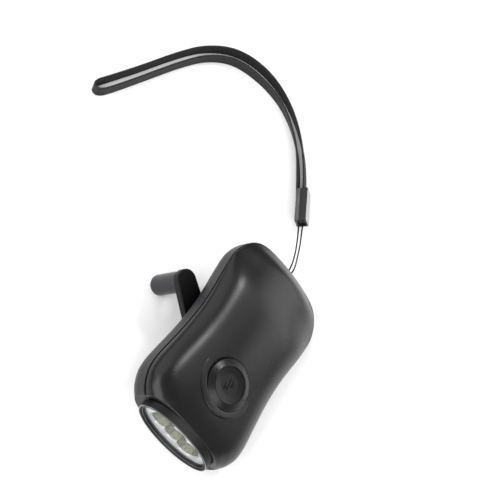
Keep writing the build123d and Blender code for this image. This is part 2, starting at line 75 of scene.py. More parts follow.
# ---------------------------------------------------------------- materials
def new_mat(name):
    mat = bpy.data.materials.new(name)
    mat.use_nodes = True
    nt = mat.node_tree
    return mat, nt, nt.nodes["Principled BSDF"]


def node(nt, kind, **inputs):
    n = nt.nodes.new(kind)
    for k, v in inputs.items():
        n.inputs[k.replace("_", " ")].default_value = v
    return n


def moulded(name, color, rough, grain=2600.0, bump=0.05, vary=0.12, spec=0.5, coat=0.0, coat_rough=0.2, metallic=0.0, rough_vary=0.08, edge=0.0):
    """moulded or metal finish: fine grain in the bump, slow change of colour and gloss, and worn edges"""
    mat, nt, p = new_mat(name)
    L = nt.links
    tc = nt.nodes.new("ShaderNodeTexCoord")
    slow = node(nt, "ShaderNodeTexNoise", Scale=55.0, Detail=4.0, Roughness=0.6)
    L.new(tc.outputs["Object"], slow.inputs["Vector"])
    ramp = nt.nodes.new("ShaderNodeValToRGB")
    a = [max(0.0, c * (1 - vary)) for c in color]
    b = [min(1.0, c * (1 + vary)) for c in color]
    ramp.color_ramp.elements[0].position, ramp.color_ramp.elements[1].position = 0.35, 0.65
    ramp.color_ramp.elements[0].color = (*a, 1)
    ramp.color_ramp.elements[1].color = (*b, 1)
    L.new(slow.outputs["Fac"], ramp.inputs["Fac"])
    if edge > 0:
        geo = nt.nodes.new("ShaderNodeNewGeometry")
        er = nt.nodes.new("ShaderNodeValToRGB")
        er.color_ramp.elements[0].position, er.color_ramp.elements[1].position = 0.53, 0.62
        er.color_ramp.elements[0].color = (0, 0, 0, 1)
        er.color_ramp.elements[1].color = (edge, edge, edge, 1)
        L.new(geo.outputs["Pointiness"], er.inputs["Fac"])
        mix = nt.nodes.new("ShaderNodeMix")
        mix.data_type = "RGBA"
        mix.inputs["B"].default_value = (min(1, color[0] * 3.2 + 0.03), min(1, color[1] * 3.2 + 0.03), min(1, color[2] * 3.2 + 0.03), 1)
        L.new(er.outputs["Color"], mix.inputs["Factor"])
        L.new(ramp.outputs["Color"], mix.inputs["A"])
        L.new(mix.outputs["Result"], p.inputs["Base Color"])
    else:
        L.new(ramp.outputs["Color"], p.inputs["Base Color"])
    rr = nt.nodes.new("ShaderNodeMapRange")
    rr.inputs["From Min"].default_value, rr.inputs["From Max"].default_value = 0.3, 0.7
    rr.inputs["To Min"].default_value, rr.inputs["To Max"].default_value = rough * (1 - rough_vary), rough * (1 + rough_vary)
    L.new(slow.outputs["Fac"], rr.inputs["Value"])
    L.new(rr.outputs["Result"], p.inputs["Roughness"])
    fine = node(nt, "ShaderNodeTexNoise", Scale=grain, Detail=2.0, Roughness=0.5)
    L.new(tc.outputs["Object"], fine.inputs["Vector"])
    bp = node(nt, "ShaderNodeBump", Strength=bump, Distance=0.0001)
    L.new(fine.outputs["Fac"], bp.inputs["Height"])
    L.new(bp.outputs["Normal"], p.inputs["Normal"])
    p.inputs["Specular IOR Level"].default_value = spec
    p.inputs["Metallic"].default_value = metallic
    p.inputs["Coat Weight"].default_value = coat
    p.inputs["Coat Roughness"].default_value = coat_rough
    return mat


def striped(name, color, rough, scale, axis, bump=0.3, metallic=1.0, spec=0.5):
    """turned or brushed metal and wound wire: fine lines along one axis"""
    mat, nt, p = new_mat(name)
    L = nt.links
    tc = nt.nodes.new("ShaderNodeTexCoord")
    mp = nt.nodes.new("ShaderNodeMapping")
    sc = [30.0, 30.0, 30.0]
    sc[axis] = scale
    mp.inputs["Scale"].default_value = sc
    L.new(tc.outputs["Object"], mp.inputs["Vector"])
    nz = node(nt, "ShaderNodeTexNoise", Scale=1.0, Detail=3.0, Roughness=0.6)
    L.new(mp.outputs["Vector"], nz.inputs["Vector"])
    ramp = nt.nodes.new("ShaderNodeValToRGB")
    ramp.color_ramp.elements[0].position, ramp.color_ramp.elements[1].position = 0.3, 0.7
    ramp.color_ramp.elements[0].color = (*[c * 0.8 for c in color], 1)
    ramp.color_ramp.elements[1].color = (*[min(1, c * 1.12) for c in color], 1)
    L.new(nz.outputs["Fac"], ramp.inputs["Fac"])
    L.new(ramp.outputs["Color"], p.inputs["Base Color"])
    bp = node(nt, "ShaderNodeBump", Strength=bump, Distance=0.00008)
    L.new(nz.outputs["Fac"], bp.inputs["Height"])
    L.new(bp.outputs["Normal"], p.inputs["Normal"])
    p.inputs["Roughness"].default_value = rough
    p.inputs["Metallic"].default_value = metallic
    p.inputs["Specular IOR Level"].default_value = spec
    return mat


SHELL = moulded("front_shell_plastic", (0.0052, 0.0052, 0.0055), 0.28, grain=3800, bump=0.05, vary=0.06, spec=0.33, rough_vary=0.05)
BACK = moulded("back_shell_plastic", (0.013, 0.013, 0.015), 0.46, grain=3400, bump=0.08, vary=0.08, spec=0.30, edge=0.10)
BEZEL = moulded("bezel_plastic", (0.004, 0.004, 0.0044), 0.38, grain=3600, bump=0.05, spec=0.17, edge=0.08)
BUTTON = moulded("button_plastic", (0.0065, 0.0065, 0.007), 0.30, grain=3600, bump=0.05, spec=0.27, edge=0.12)
ARM = moulded("arm_plastic", (0.003, 0.003, 0.0033), 0.42, grain=3000, bump=0.06, spec=0.18)
KNOB = moulded("knob_plastic", (0.008, 0.008, 0.0105), 0.32, grain=3200, bump=0.05, spec=0.36, edge=0.12)
# painted highlight in part: the black bezel's rounded lip edges are drawn as lighter grey beads where they catch the
# light; their gloss is real
RIM = moulded("bezel_edge_painted_highlight", (0.075, 0.075, 0.078), 0.2, grain=2600, bump=0.03, spec=0.9, coat=0.6, coat_rough=0.1)
RIM2 = moulded("bezel_inner_edge", (0.05, 0.05, 0.052), 0.25, grain=2600, bump=0.03, spec=0.7)
HUBM = moulded("hub_plastic", (0.02, 0.02, 0.022), 0.4, grain=3000, bump=0.06)
STEEL = striped("zinc_steel", (0.62, 0.62, 0.64), 0.3, 5000, 2)
NICKEL = striped("cell_nickel_finish", (0.72, 0.72, 0.73), 0.22, 3000, 1)
GEARM = moulded("acetal", (0.78, 0.77, 0.72), 0.42, grain=1800, bump=0.06, vary=0.03)
COPPER = striped("enamelled_copper", (0.72, 0.3, 0.14), 0.3, 4000, 2, bump=0.8)
BRASS = striped("turned_brass", (0.8, 0.58, 0.26), 0.28, 4500, 2)
MAGNET = moulded("sintered_magnet", (0.16, 0.16, 0.17), 0.5, grain=1500, bump=0.2, metallic=0.7)
BOARD = moulded("solder_mask", (0.02, 0.14, 0.06), 0.32, grain=900, bump=0.12, vary=0.2, coat=0.3)
CHIP = moulded("package_plastic", (0.025, 0.025, 0.027), 0.45, grain=2000, bump=0.1)
WIRE = moulded("wire_insulation", (0.42, 0.03, 0.025), 0.35, grain=1200, bump=0.03)
GASKET = moulded("gasket_rubber_finish", (0.02, 0.02, 0.02), 0.7, grain=1500, bump=0.15)
# painted shade: near-black matte caps stand for the depth of the button's pin holes
HOLE_SHADE = moulded("pin_hole_painted_shade", (0.003, 0.003, 0.003), 0.8, grain=900, bump=0.05, spec=0.1)
MARK = moulded("mark_rib", (0.002, 0.002, 0.002), 0.40, grain=1500, bump=0.05, spec=0.3)

MIRROR = moulded("metallised_reflector", (0.50, 0.505, 0.515), 0.30, grain=700, bump=0.04, vary=0.05, metallic=0.45, spec=0.6, rough_vary=0.15)
CUP = moulded("reflector_cup", (0.042, 0.046, 0.010), 0.20, grain=900, bump=0.12, vary=0.30, metallic=0.45, spec=0.6, rough_vary=0.2)

CLEAR, nt, p = new_mat("clear_lens_plastic")
tc = nt.nodes.new("ShaderNodeTexCoord")
nz = node(nt, "ShaderNodeTexNoise", Scale=160.0, Detail=2.0, Roughness=0.5)
nt.links.new(tc.outputs["Object"], nz.inputs["Vector"])
rp = nt.nodes.new("ShaderNodeMapRange")
rp.inputs["From Min"].default_value, rp.inputs["From Max"].default_value = 0.3, 0.7
rp.inputs["To Min"].default_value, rp.inputs["To Max"].default_value = 0.02, 0.07
nt.links.new(nz.outputs["Fac"], rp.inputs["Value"])
nt.links.new(rp.outputs["Result"], p.inputs["Roughness"])
p.inputs["Base Color"].default_value = (0.97, 0.98, 1.0, 1)
p.inputs["Alpha"].default_value = 0.05
p.inputs["Specular IOR Level"].default_value = 0.5
CLEAR.surface_render_method = "BLENDED"

DOME, nt, p = new_mat("led_resin")
tc = nt.nodes.new("ShaderNodeTexCoord")
nz = node(nt, "ShaderNodeTexNoise", Scale=700.0, Detail=2.0, Roughness=0.5)
nt.links.new(tc.outputs["Object"], nz.inputs["Vector"])
rp = nt.nodes.new("ShaderNodeValToRGB")
rp.color_ramp.elements[0].color = (0.07, 0.075, 0.024, 1)
rp.color_ramp.elements[1].color = (0.11, 0.115, 0.042, 1)
nt.links.new(nz.outputs["Fac"], rp.inputs["Fac"])
nt.links.new(rp.outputs["Color"], p.inputs["Base Color"])
p.inputs["Alpha"].default_value = 0.16
p.inputs["Roughness"].default_value = 0.08
p.inputs["Specular IOR Level"].default_value = 0.5
DOME.surface_render_method = "BLENDED"
PHOSPHOR = moulded("led_phosphor", (0.04, 0.043, 0.005), 0.5, grain=5000, bump=0.2, vary=0.25)


def weave(name, color, pitch_along, rough=0.72):
    """woven tape: ribs across the tape and fine threads, from the u and v of its own mesh"""
    mat, nt, p = new_mat(name)
    L = nt.links
    uv = nt.nodes.new("ShaderNodeUVMap")
    uv.uv_map = "UVMap"
    sep = nt.nodes.new("ShaderNodeSeparateXYZ")
    L.new(uv.outputs["UV"], sep.inputs["Vector"])

    def wave(src, k, phase=0.0):
        a = nt.nodes.new("ShaderNodeMath")
        a.operation = "MULTIPLY_ADD"
        a.inputs[1].default_value, a.inputs[2].default_value = k, phase
        L.new(src, a.inputs[0])
        b = nt.nodes.new("ShaderNodeMath")
        b.operation = "SINE"
        L.new(a.outputs[0], b.inputs[0])
        return b.outputs[0]

    ribs = wave(sep.outputs["X"], 2 * math.pi / pitch_along)
    threads = wave(sep.outputs["Y"], 2 * math.pi / 0.00085, 0.6)
    mul = nt.nodes.new("ShaderNodeMath")
    mul.operation = "MULTIPLY"
    L.new(ribs, mul.inputs[0])
    L.new(threads, mul.inputs[1])
    add = nt.nodes.new("ShaderNodeMath")
    add.operation = "MULTIPLY_ADD"
    add.inputs[1].default_value = 0.55
    L.new(mul.outputs[0], add.inputs[0])
    L.new(ribs, add.inputs[2])
    fuzz = node(nt, "ShaderNodeTexNoise", Scale=2600.0, Detail=3.0, Roughness=0.7)
    tc = nt.nodes.new("ShaderNodeTexCoord")
    L.new(tc.outputs["Object"], fuzz.inputs["Vector"])
    add2 = nt.nodes.new("ShaderNodeMath")
    add2.operation = "MULTIPLY_ADD"
    add2.inputs[1].default_value = 0.9
    L.new(fuzz.outputs["Fac"], add2.inputs[0])
    L.new(add.outputs[0], add2.inputs[2])
    mr = nt.nodes.new("ShaderNodeMapRange")
    mr.inputs["From Min"].default_value, mr.inputs["From Max"].default_value = -1.4, 2.2
    L.new(add2.outputs[0], mr.inputs["Value"])
    ramp = nt.nodes.new("ShaderNodeValToRGB")
    ramp.color_ramp.elements[0].color = (*[c * 0.35 for c in color], 1)
    ramp.color_ramp.elements[1].color = (*[min(1, c * 1.7) for c in color], 1)
    L.new(mr.outputs["Result"], ramp.inputs["Fac"])
    L.new(ramp.outputs["Color"], p.inputs["Base Color"])
    bp = node(nt, "ShaderNodeBump", Strength=0.7, Distance=0.00025)
    L.new(mr.outputs["Result"], bp.inputs["Height"])
    L.new(bp.outputs["Normal"], p.inputs["Normal"])
    p.inputs["Roughness"].default_value = rough
    p.inputs["Sheen Weight"].default_value = 0.05
    p.inputs["Sheen Roughness"].default_value = 0.4
    p.inputs["Specular IOR Level"].default_value = 0.3
    return mat


WEBBING = weave("woven_webbing", (0.011, 0.011, 0.0118), 0.0013)
CORDM = moulded("cord_jacket", (0.005, 0.005, 0.0055), 0.30, grain=3000, bump=0.25, spec=0.3)
FERRULE = moulded("dark_plated_crimp", (0.055, 0.055, 0.06), 0.26, grain=1600, bump=0.04, vary=0.25, metallic=0.7, spec=0.5, coat=0.2)
# painted shade: the crimp's shaded top and recessed ends, drawn as a darker copy of the same plated metal
FERRULE_PAINTED_SHADE = moulded("crimp_painted_shade", (0.010, 0.010, 0.011), 0.30, grain=1600, bump=0.04, metallic=0.2, spec=0.35)
# painted reflection: the crimp's side that faces the bright surroundings, drawn as a lighter copy of the same plated
# metal
FERRULE_PAINTED_REFLECTION = moulded("crimp_side_painted_reflection", (0.40, 0.40, 0.405), 0.45, grain=1600, bump=0.05, vary=0.06, metallic=0.15, spec=0.5)

for n, mat in {
    "front_shell": SHELL, "back_shell": BACK, "bezel_ring": BEZEL, "button": BUTTON, "crank_arm": ARM, "crank_knob": KNOB,
    "crank_hub": HUBM, "lens": CLEAR, "lens_gasket": GASKET, "led_board": BOARD, "switch_plunger": CHIP, "switch_body": CHIP,
    "main_board": BOARD, "board_components": CHIP, "crank_gear": GEARM, "idler_gear_1": GEARM, "idler_gear_2": GEARM,
    "rotor_pinion": STEEL, "rotor_magnet": MAGNET, "stator_can": STEEL, "stator_coil": COPPER, "gear_plate": GEARM,
    "gear_axles": STEEL, "board_screws": STEEL, "case_screws": STEEL, "battery_cells": NICKEL, "battery_clip": STEEL,
    "hub_screw": STEEL, "fold_pin": STEEL, "knob_pin": STEEL, "hub_bush": BRASS, "wires": WIRE,
}.items():
    me = nodes[n].data
    me.materials.clear()
    me.materials.append(mat)


# ---------------------------------------------------------------- mesh helpers
def make(name, verts, faces, mat, smooth=True, angle=None):
    me = bpy.data.meshes.new(name)
    me.from_pydata([tuple(v) for v in verts], [], faces)
    me.validate()
    bm = bmesh.new()
    bm.from_mesh(me)
    bmesh.ops.recalc_face_normals(bm, faces=bm.faces)
    bm.to_mesh(me)
    bm.free()
    for p in me.polygons:
        p.use_smooth = smooth
    if angle is not None:
        me.set_sharp_from_angle(angle=math.radians(angle))
    me.materials.append(mat)
    o = bpy.data.objects.new(name, me)
    bpy.context.scene.collection.objects.link(o)
    return o


def lathe(name, prof, at, mat, seg=64, angle=35):
    """closed turned piece: prof is (r, h) from axis to axis, at(r, angle, h) gives the point"""
    verts, faces, rings = [], [], []
    for r, h in prof:
        if r < 1e-6:
            rings.append([len(verts)])
            verts.append(at(0, 0, h))
        else:
            rings.append(list(range(len(verts), len(verts) + seg)))
            verts += [at(r, 2 * math.pi * k / seg, h) for k in range(seg)]
    for a, b in zip(rings, rings[1:]):
        for k in range(seg):
            k2 = (k + 1) % seg
            if len(a) == 1 and len(b) > 1:
                faces.append((a[0], b[k], b[k2]))
            elif len(b) == 1 and len(a) > 1:
                faces.append((a[k], b[0], a[k2]))
            elif len(a) > 1:
                faces.append((a[k], b[k], b[k2], a[k2]))
    return make(name, verts, faces, mat, angle=angle)


def nurbs_line(points, name):
    """the smooth line of a route: its points are the control points of an open spline of order 3"""
    cu = bpy.data.curves.new(name, "CURVE")
    cu.dimensions = "3D"
    cu.resolution_u = 14
    sp = cu.splines.new("NURBS")
    sp.points.add(len(points) - 1)
    for q, v in zip(sp.points, points):
        q.co = (v[0] * MM, v[1] * MM, v[2] * MM, 1)
    sp.order_u = 3
    sp.use_endpoint_u = True
    ob = bpy.data.objects.new(name, cu)
    bpy.context.scene.collection.objects.link(ob)
    return ob


def read_line(points, name):
    ob = nurbs_line(points, name)
    me = bpy.data.meshes.new_from_object(ob)
    line = [v.co.copy() for v in me.vertices]
    bpy.data.objects.remove(ob)
    bpy.data.meshes.remove(me)
    return line


def box_bm(size, bevel, seg=3):
    bm = bmesh.new()
    bmesh.ops.create_cube(bm, size=1.0)
    bmesh.ops.scale(bm, vec=size, verts=bm.verts)
    bmesh.ops.bevel(bm, geom=bm.edges[:], offset=bevel, segments=seg, affect="EDGES", profile=0.5)
    return bm


# ---------------------------------------------------------------- front shell
# skin of the front: height over the parting line from the crest along the middle, its fall across and the round-over at the outline
HALF = [(47.0, 17.3), (45.2, 20.1), (43.3, 22.3), (40.9, 24.7), (38.2, 26.4), (35.0, 27.75), (31.0, 28.38), (26.5, 28.35),
        (20.8, 27.75), (14.5, 27.05), (8.3, 26.45), (2.0, 26.1), (-4.0, 26.02), (-10.0, 26.35), (-16.0, 26.95),
        (-22.0, 27.65), (-27.5, 28.2), (-31.5, 28.38), (-35.2, 27.9), (-38.6, 26.75), (-41.8, 25.0), (-44.8, 22.4),
        (-47.0, 18.9), (-48.3, 14.6), (-49.0, 9.6), (-49.35, 4.8), (-49.45, 0.0)]
FRONT_INSET, END_U, BU = 0.35, 43.2, 17.9


def spline(pts, per=14):
    """smooth open curve through points, by centripetal steps"""
    P = [np.array(q, float) for q in pts]
    P = [2 * P[0] - P[1]] + P + [2 * P[-1] - P[-2]]
    out = []
    for i in range(1, len(P) - 2):
        p0, p1, p2, p3 = P[i - 1:i + 3]
        t1 = np.linalg.norm(p1 - p0) ** 0.5
        t2 = t1 + np.linalg.norm(p2 - p1) ** 0.5
        t3 = t2 + np.linalg.norm(p3 - p2) ** 0.5
        for t in np.linspace(t1, t2, per, endpoint=False):
            a1 = p0 * (t1 - t) / t1 + p1 * t / t1
            a2 = p1 * (t2 - t) / (t2 - t1) + p2 * (t - t1) / (t2 - t1)
            a3 = p2 * (t3 - t) / (t3 - t2) + p3 * (t - t2) / (t3 - t2)
            b1 = a1 * (t2 - t) / t2 + a2 * t / t2
            b2 = a2 * (t3 - t) / (t3 - t1) + a3 * (t - t1) / (t3 - t1)
            out.append(b1 * (t2 - t) / (t2 - t1) + b2 * (t - t1) / (t2 - t1))
    out.append(P[-2])
    return np.array(out)


def through(xs, ys, x):
    """smooth monotone curve through knots"""
    h = np.diff(xs)
    d = np.diff(ys) / h
    m = np.zeros(len(xs))
    m[0], m[-1] = d[0], d[-1]
    for k in range(1, len(xs) - 1):
        if d[k - 1] * d[k] > 0:
            w1, w2 = 2 * h[k] + h[k - 1], h[k] + 2 * h[k - 1]
            m[k] = (w1 + w2) / (w1 / d[k - 1] + w2 / d[k])
    x = np.clip(x, xs[0], xs[-1])
    k = np.clip(np.searchsorted(xs, x) - 1, 0, len(xs) - 2)
    t = (x - xs[k]) / h[k]
    return ((1 + 2 * t) * (1 - t) ** 2 * ys[k] + t * (1 - t) ** 2 * h[k] * m[k]
            + t * t * (3 - 2 * t) * ys[k + 1] + t * t * (t - 1) * h[k] * m[k + 1])


CREST_U = np.array([-50, -42, -34, -20, 0, 20, 34, 46.0])
CREST_N = np.array([1.79, 6.03, 7.34, 9.90, 10.30, 10.60, 10.94, 10.47])
FALL_U = np.array([-48, -25, 0, 25, 46.0])
FALL = np.array([0.00849, 0.00771, 0.00784, 0.00592, 0.00503])
ROUND_U, ROUND_R = np.array([-48, 0, 46.0]), np.array([11.6, 9.53, 9.54])
POW = 2.607

edge = spline(HALF + [(u, -w) for u, w in HALF[:-1]][::-1])
tan = np.gradient(edge, axis=0)
tan /= np.linalg.norm(tan, axis=1)[:, None]
out_n = np.stack([tan[:, 1], -tan[:, 0]], 1)
out_n *= np.sign((out_n * edge).sum(1))[:, None]
edge = edge - FRONT_INSET * out_n


def inset_of(P):
    a, b = edge[:-1], edge[1:]
    ab = b - a
    best = np.full(len(P), 1e9)
    for s0 in range(0, len(P), 2000):
        q = P[s0:s0 + 2000, None, :]
        t = np.clip(((q - a) * ab).sum(2) / (ab * ab).sum(1), 0, 1)
        best[s0:s0 + 2000] = np.linalg.norm(q - a - t[..., None] * ab, axis=2).min(1)
    return best


def front_height(P, s):
    u, w = P[:, 0], P[:, 1]
    top = through(CREST_U, CREST_N, u) - through(FALL_U, FALL, u) * w * w
    x = np.clip(1 - s / through(ROUND_U, ROUND_R, u), 0, 1)
    return top * (1 - x ** POW) ** (1 / POW)


# boundary: along the sides and round the strap end, then across the light end
side = edge[edge[:, 0] < END_U - 0.02]
k0 = int(np.argmax(edge[:, 0] < END_U))
c0 = edge[k0 - 1] + (edge[k0] - edge[k0 - 1]) * (edge[k0 - 1][0] - END_U) / (edge[k0 - 1][0] - edge[k0][0])
wc = abs(c0[1])
lens_ = np.r_[0, np.cumsum(np.linalg.norm(np.diff(side, axis=0), axis=1))]
want = np.linspace(0, lens_[-1], 300)
side = np.stack([np.interp(want, lens_, side[:, 0]), np.interp(want, lens_, side[:, 1])], 1)
fine = [0.0, 0.01, 0.05, 0.13, 0.28, 0.5, 0.83, 1.28, 1.84, 2.48, 3.21, 4.02, 4.91, 5.85, 6.8, 7.9]
across = [-(wc - v) for v in fine] + list(np.linspace(-(wc - 9.0), wc - 9.0, 24)) + [wc - v for v in reversed(fine)]
rim = [tuple(q) for q in side[::1]] + [(END_U, w) for w in across]
rim = np.array(rim)
is_end = np.r_[np.zeros(len(side), bool), np.ones(len(across), bool)]
cen = np.array([BU, 0.0])
ray = cen - rim
ray_len = np.linalg.norm(ray, axis=1)
ray = ray / ray_len[:, None]
near = np.array([np.argmin(np.linalg.norm(edge - q, axis=1)) for q in rim])
cosf = np.where(is_end, 1.0, np.clip(-(out_n[near] * ray).sum(1), 0.45, 1))
# ease the step between the two kinds of ray at the corners
for _ in range(6):
    cosf = (np.roll(cosf, 1) + 2 * cosf + np.roll(cosf, -1)) / 4
PAD = 13.9
steps = [0.0, 0.01, 0.045, 0.13, 0.275, 0.5, 0.83, 1.28, 1.84, 2.48, 3.21, 4.02, 4.91, 5.85, 6.8, 7.9, 9.1, 10.4]
rings_uv = []
for d in steps:
    rings_uv.append(rim + ray * np.minimum(d / cosf, ray_len - PAD - 0.6)[:, None])
last = rings_uv[-1]
pad_edge = cen - ray * (PAD + 0.03)
for f in (0.12, 0.25, 0.38, 0.5, 0.62, 0.74, 0.86, 0.95, 1.0):
    rings_uv.append(last + (pad_edge - last) * f)
n_shell = len(rings_uv)
for r in (PAD, PAD - 0.08, PAD - 0.25, PAD - 0.8, 12.4, 11.6, 11.2, 11.02, 10.92, 10.87):
    rings_uv.append(cen - ray * r)
rise = math.tan(math.radians(2.0))
verts, ring_ids = [], []
for j, P in enumerate(rings_uv):
    n_ = front_height(P, inset_of(P))
    if j == 0:
        n_ = np.where(is_end, n_, 0.35)
    n_ = np.maximum(n_, 0.35)
    e = np.clip((END_U - P[:, 0]) / 0.4, 0, 1)
    n_ = np.where(np.abs(P[:, 1]) < wc, n_ - 0.3 * (1 - np.sqrt(1 - (1 - e) ** 2)), n_)
    n_ = np.maximum(n_, 0.35)
    if j >= n_shell:
        up_ = np.maximum(0, (P[:, 0] - (BU - 2.5)) * rise)
        k = (0.0, 0.72, 0.97, 1.0, 1.0, 1.0, 1.0, 1.0, 1.0, 1.0)[j - n_shell]
        n_ = n_ + up_ * k - (0, 0, 0, 0, 0, 0, 0, 0.04, 0.12, 0.3)[j - n_shell]
    ring_ids.append(range(len(verts), len(verts) + len(P)))
    verts += [B(u, w, h) for (u, w), h in zip(P, n_)]
# wall of the button's guide, down from the hole's edge
for h in (9.6, 7.5):
    P = cen - ray * 10.87
    ring_ids.append(range(len(verts), len(verts) + len(P)))
    verts += [B(u, w, h) for u, w in P]
faces = []
m_ = len(rim)
for a, b in zip(ring_ids, ring_ids[1:]):
    for k in range(m_):
        k2 = (k + 1) % m_
        faces.append((a[k], a[k2], b[k2], b[k]))
# end face, from the profile down to the lamp's opening
ends = [k for k in range(m_) if is_end[k]]
top_n = front_height(rim, inset_of(rim))
low = {}
for k in ends:
    w = rim[k][1]
    q = max(0.35, -1 + 10.0 * math.sqrt(max(0.0, 1 - (w / 19.0) ** 2)))
    low[k] = len(verts)
    verts.append(B(END_U, w, min(q, max(0.35, top_n[k] - 0.32))))
for k, k2 in zip(ends, ends[1:]):
    faces.append((ring_ids[0][k], ring_ids[0][k2], low[k2], low[k]))
shell = make("front_shell_skin", verts, faces, SHELL, angle=38)
sol = shell.modifiers.new("wall", "SOLIDIFY")
sol.thickness = 1.2 * MM
sol.offset = -1
sol.use_rim = True
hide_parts("front_shell")
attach(shell, "case")

# ---------------------------------------------------------------- wrist strap
CORD = [(1.98, 88.246, 3.1), (4.98, 81.346, 3.2), (7.88, 72.246, 6.3), (9.58, 62.446, 12.0), (11.03, 53.446, 17.4),
        (11.009, 48.646, 18.95), (10.944, 45.196, 18.814), (9.502, 45.196, 16.29), (9.537, 48.646, 16.155),
        (9.50, 53.846, 15.5), (8.25, 62.346, 11.5), (6.35, 71.446, 6.6), (3.78, 79.646, 3.5), (0.38, 86.546, 3.1)]
cord = nurbs_line(CORD, "strap_loop_cord")
cord.data.bevel_depth = 0.38 * MM
cord.data.bevel_resolution = 5
cord.data.resolution_u = 16
cord.data.use_fill_caps = True
cord.data.materials.append(CORDM)

BAND = [(-2.72, 96.346, 3.05), (-8.12, 107.346, 3.05), (-19.42, 123.846, 3.05), (-35.62, 138.546, 3.05), (-54.52, 147.146, 3.05),
        (-73.92, 146.646, 3.05), (-87.72, 135.346, 3.05), (-96.02, 119.646, 3.05), (-103.32, 102.046, 3.05), (-111.02, 85.446, 3.05),
        (-115.52, 76.446, 3.05), (-110.42, 74.096, 3.05), (-105.72, 83.446, 3.05), (-98.32, 100.746, 3.05), (-91.02, 118.046, 3.05),
        (-83.32, 132.046, 3.05), (-71.62, 141.046, 3.05), (-53.42, 141.046, 3.05), (-37.22, 135.146, 3.05), (-21.72, 121.746, 3.05),
        (-11.32, 105.846, 3.05), (-5.38, 95.016, 3.05)]
line = read_line(BAND, "band_route")
along = [0.0]
for a, b in zip(line, line[1:]):
    along.append(along[-1] + (b - a).length)
total = along[-1]
LEAN = math.radians(33)


def smooth(x):
    x = max(0.0, min(1.0, x))
    return x * x * (3 - 2 * x)


BW, BT = 5.9 * MM, 1.0 * MM
verts, uvs, rings, centres = [], [], [], []
sec = []
rr = 0.38 * MM
for cx, cy, a0 in ((1, 1, 0), (-1, 1, 90), (-1, -1, 180), (1, -1, 270)):
    for k in range(4):
        a = math.radians(a0 + 30 * k)
        sec.append((cx * (BT / 2 - rr) + rr * math.cos(a), cy * (BW / 2 - rr) + rr * math.sin(a)))
# extra points along the wide faces, where the edge cord of the weave stands a little proud
wide = []
for i, (x, y) in enumerate(sec):
    wide.append((x, y))
    x2, y2 = sec[(i + 1) % len(sec)]
    if abs(y2 - y) > BW * 0.5:
        for f in (0.07, 0.14, 0.2, 0.5, 0.8, 0.86, 0.93):
            yy = y + (y2 - y) * f
            e = abs(yy) / (BW / 2)
            dip = 0.10 * MM if e < 0.66 else 0.0
            wide.append((x - math.copysign(dip, x), yy))
sec = wide
for i, q in enumerate(line):
    t = (line[min(i + 1, len(line) - 1)] - line[max(i - 1, 0)]).normalized()
    left = Vector((-t.y, t.x, 0)).normalized()
    f = along[i] / total
    lean = LEAN * (1 - smooth((f - 0.02) / 0.24)) if f < 0.5 else -LEAN * (1 - smooth((0.98 - f) / 0.24))
    h = Vector((0, 0, 1)) * math.cos(lean) + left * math.sin(lean)
    s = left * math.cos(lean) - Vector((0, 0, 1)) * math.sin(lean)
    centre = Vector((q.x, q.y, BW / 2 * math.cos(lean) + BT / 2 * abs(math.sin(lean)) + 0.05 * MM))
    centres.append(centre)
    rings.append(list(range(len(verts), len(verts) + len(sec))))
    for x, y in sec:
        verts.append(centre + s * x + h * y)
        uvs.append((along[i], y))
faces = []
for a, b in zip(rings, rings[1:]):
    for k in range(len(sec)):
        k2 = (k + 1) % len(sec)
        faces.append((a[k], a[k2], b[k2], b[k]))
faces.append(tuple(rings[0]))
faces.append(tuple(reversed(rings[-1])))
band = make("strap_webbing", verts, faces, WEBBING, angle=50)
lay = band.data.uv_layers.new(name="UVMap")
for lp in band.data.loops:
    lay.data[lp.index].uv = uvs[lp.vertex_index]

# ferrule: a folded metal crimp with a seam, leaning as the webbing does; one side is painted lighter as a reflection,
# and the top and ends are painted darker as shade
F0, F1 = Vector((-5.82, 100.40, 0)) * MM, Vector((2.26, 84.60, 0)) * MM
ax = (F1 - F0).normalized()
pr = Vector((-ax.y, ax.x, 0))
flen = (F1 - F0).length
fw, fh = 5.8 * MM, 6.9 * MM
fx_s = -1 if pr.x > 0 else 1
lean_dir = pr * fx_s                                   # to the left in the photo
hh = Vector((0, 0, 1)) * math.cos(LEAN) + lean_dir * math.sin(LEAN)
ss = -lean_dir * math.cos(LEAN) + Vector((0, 0, 1)) * math.sin(LEAN)
fc = (F0 + F1) / 2 + Vector((0, 0, fh / 2 * math.cos(LEAN) + fw / 2 * math.sin(LEAN) + 0.03 * MM))
prof = []
rad = 0.45 * MM
for cx, cy, a0 in ((1, 1, 0), (-1, 1, 90), (-1, -1, 180), (1, -1, 270)):
    for k in range(7):
        a = math.radians(a0 + 15 * k)
        prof.append((cx * (fw / 2 - rad) + rad * math.cos(a), cy * (fh / 2 - rad) + rad * math.sin(a)))
# seam along the top face, where the two turned-in edges of the crimp meet; the offset set beside it marks where the
# painted shade on the top begins
seamed, painted_shade_from = [], -0.75 * MM
for i, (x, y) in enumerate(prof):
    seamed.append((x, y))
    x2, y2 = prof[(i + 1) % len(prof)]
    if y > 0 and y2 > 0 and abs(x2 - x) > fw * 0.5:
        for off, dip in ((0.40, 0.0), (0.28, 0.05), (0.20, 0.45), (-0.20, 0.45), (-0.28, 0.05), (-0.40, 0.0)):
            seamed.append((-1.15 * MM + off * MM, y - dip * MM))
prof = seamed
stations = [(-0.5, 0.90), (-0.494, 0.96), (-0.48, 0.995), (-0.46, 1.0), (0.46, 1.0), (0.48, 0.995), (0.494, 0.96), (0.5, 0.90)]
verts, faces, rings = [], [], []
for f, k in stations:
    rings.append(list(range(len(verts), len(verts) + len(prof))))
    for x, y in prof:
        verts.append(fc + ax * (flen * f) + ss * (x - (1 - k) * 2.0 * MM * (1 if x > 0 else -1)) + hh * (y - (1 - k) * 2.0 * MM * (1 if y > 0 else -1)))
for a, b in zip(rings, rings[1:]):
    for k in range(len(prof)):
        k2 = (k + 1) % len(prof)
        faces.append((a[k], a[k2], b[k2], b[k]))
